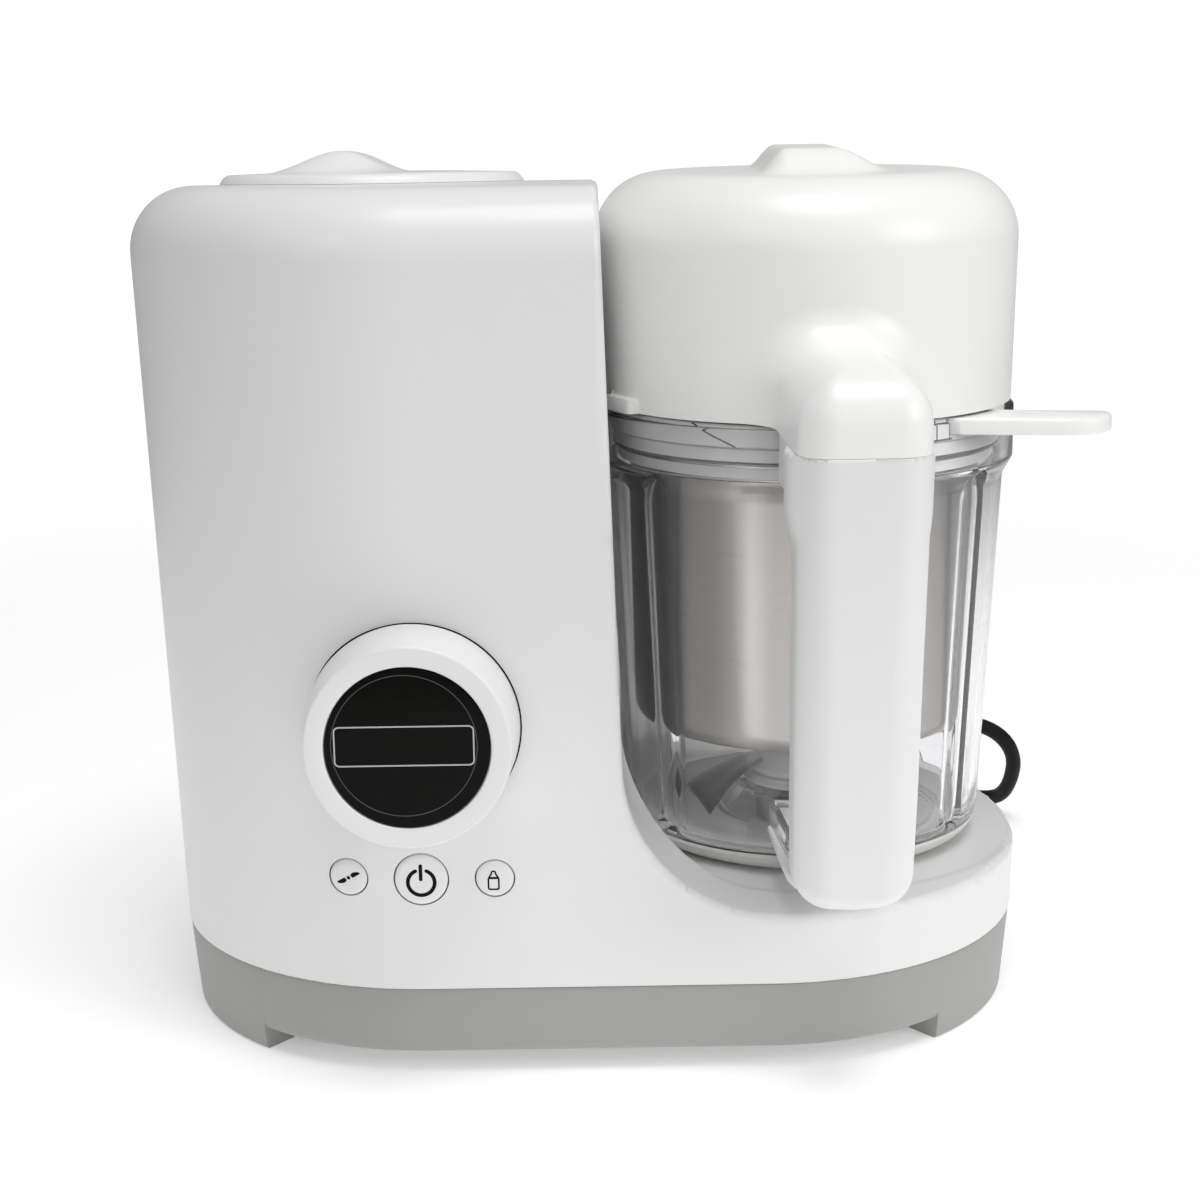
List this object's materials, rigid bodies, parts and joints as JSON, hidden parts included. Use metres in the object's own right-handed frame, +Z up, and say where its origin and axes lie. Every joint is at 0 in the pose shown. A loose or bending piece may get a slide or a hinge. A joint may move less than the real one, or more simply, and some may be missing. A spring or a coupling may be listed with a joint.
{
  "type": "baby food steamer blender",
  "caption": "Countertop baby food steamer and blender: white tower with tank and round control knob, beside a deck with a clear jug, steel basket and tall lid.",
  "frame": {"origin": "middle of the object's box without the cord, on the surface that it stands on", "axes": "+X from the tower to the jug, -Y to the front with knob and handle, +Z up"},
  "size_m": [0.2794, 0.2803, 0.2412],
  "materials": {
    "white_shell": "satin",
    "grey_base": "fine grain",
    "rubber": "matte",
    "steel": "plain",
    "brushed_basket": "brushed",
    "inner_plastic": "plain",
    "dark_plastic": "plain",
    "bronze": "sintered",
    "belt_rubber": "matte",
    "board": "solder mask",
    "display_black": "gloss",
    "clear_jug": "clear grey tint",
    "cord_black": "satin",
    "plug_metal": "bright"
  },
  "bodies": {
    "base": {"housing": "white_shell", "bottom_cover": "grey_base", "foot_pads": "rubber", "tank_gasket": "rubber", "button_membrane": "rubber", "cover_screws": "steel", "motor": "steel", "boiler": "steel", "chassis": "inner_plastic", "water_tank": "inner_plastic", "steam_pipe": "inner_plastic", "steam_nozzle": "inner_plastic", "display_pod": "inner_plastic", "interlock_switch": "dark_plastic", "cord_tie": "dark_plastic", "drive_bush": "bronze", "drive_belt": "belt_rubber", "control_board": "board", "display_window": "display_black", "cord_bushing": "cord_black", "cord_lead": "cord_black", "cord_coil": "cord_black", "plug_body": "cord_black", "plug_pins": "plug_metal"},
    "jug": {"jug": "clear_jug", "jug_handle": "white_shell", "handle_screw": "steel", "blade_seat": "inner_plastic", "blade_seal": "rubber"},
    "blade_unit": {"blade_shaft": "steel", "blade_hub": "inner_plastic", "blades": "brushed_basket", "jug_coupling": "dark_plastic"},
    "basket": {"steam_basket": "brushed_basket", "basket_ring": "white_shell"},
    "lid_seal": {"lid_seal": "rubber"},
    "lid": {"lid": "white_shell"},
    "tank_lid": {"tank_lid": "white_shell"},
    "control_knob": {"control_knob": "white_shell"},
    "power_button": {"power_button": "white_shell"},
    "pulse_button": {"pulse_button": "white_shell"},
    "bottle_button": {"bottle_button": "white_shell"},
    "drive": {"drive_pulley": "dark_plastic", "drive_shaft": "steel", "drive_coupling": "dark_plastic"},
    "motor_pulley": {"motor_pulley": "dark_plastic"}
  },
  "joints": [
    {"name": "jug_lift", "type": "slide", "parent": "base", "child": "jug", "axis": [0, 0, 1], "range_m": [0, 0.2]},
    {"name": "lid_lift", "type": "slide", "parent": "jug", "child": "lid_seal", "axis": [0, 0, 1], "range_m": [0, 0.12]},
    {"name": "lid_twist", "type": "hinge", "parent": "lid_seal", "child": "lid", "pos_m": [0.05556, 0.01355, 0.1705], "axis": [0, 0, 1], "range_deg": [0, 20]},
    {"name": "basket_lift", "type": "slide", "parent": "jug", "child": "basket", "axis": [0, 0, 1], "range_m": [0, 0.1]},
    {"name": "tank_lid_lift", "type": "slide", "parent": "base", "child": "tank_lid", "axis": [0, 0, 1], "range_m": [0, 0.06]},
    {"name": "knob_turn", "type": "hinge", "parent": "base", "child": "control_knob", "pos_m": [-0.05144, -0.07644, 0.098], "axis": [0, -1, 0], "continuous": true},
    {"name": "power_press", "type": "slide", "parent": "base", "child": "power_button", "axis": [0, 1, 0], "range_m": [0, 0.0014], "stiffness_N_per_m": 600},
    {"name": "pulse_press", "type": "slide", "parent": "base", "child": "pulse_button", "axis": [0, 1, 0], "range_m": [0, 0.0014], "stiffness_N_per_m": 600},
    {"name": "bottle_press", "type": "slide", "parent": "base", "child": "bottle_button", "axis": [0, 1, 0], "range_m": [0, 0.0014], "stiffness_N_per_m": 600},
    {"name": "drive_spin", "type": "hinge", "parent": "base", "child": "drive", "pos_m": [0.05556, 0.01355, 0.03], "axis": [0, 0, 1], "continuous": true},
    {"name": "motor_spin", "type": "hinge", "parent": "base", "child": "motor_pulley", "pos_m": [-0.06444, 0.02556, 0.03], "axis": [0, 0, 1], "continuous": true},
    {"name": "blade_spin", "type": "hinge", "parent": "jug", "child": "blade_unit", "pos_m": [0.05556, 0.01355, 0.06], "axis": [0, 0, 1], "continuous": true}
  ],
  "couplings": [
    {"joint": "basket_lift", "follows": "lid_lift", "ratio": 0.5},
    {"joint": "motor_spin", "follows": "drive_spin", "ratio": 3.2},
    {"joint": "blade_spin", "follows": "drive_spin", "ratio": 1}
  ]
}
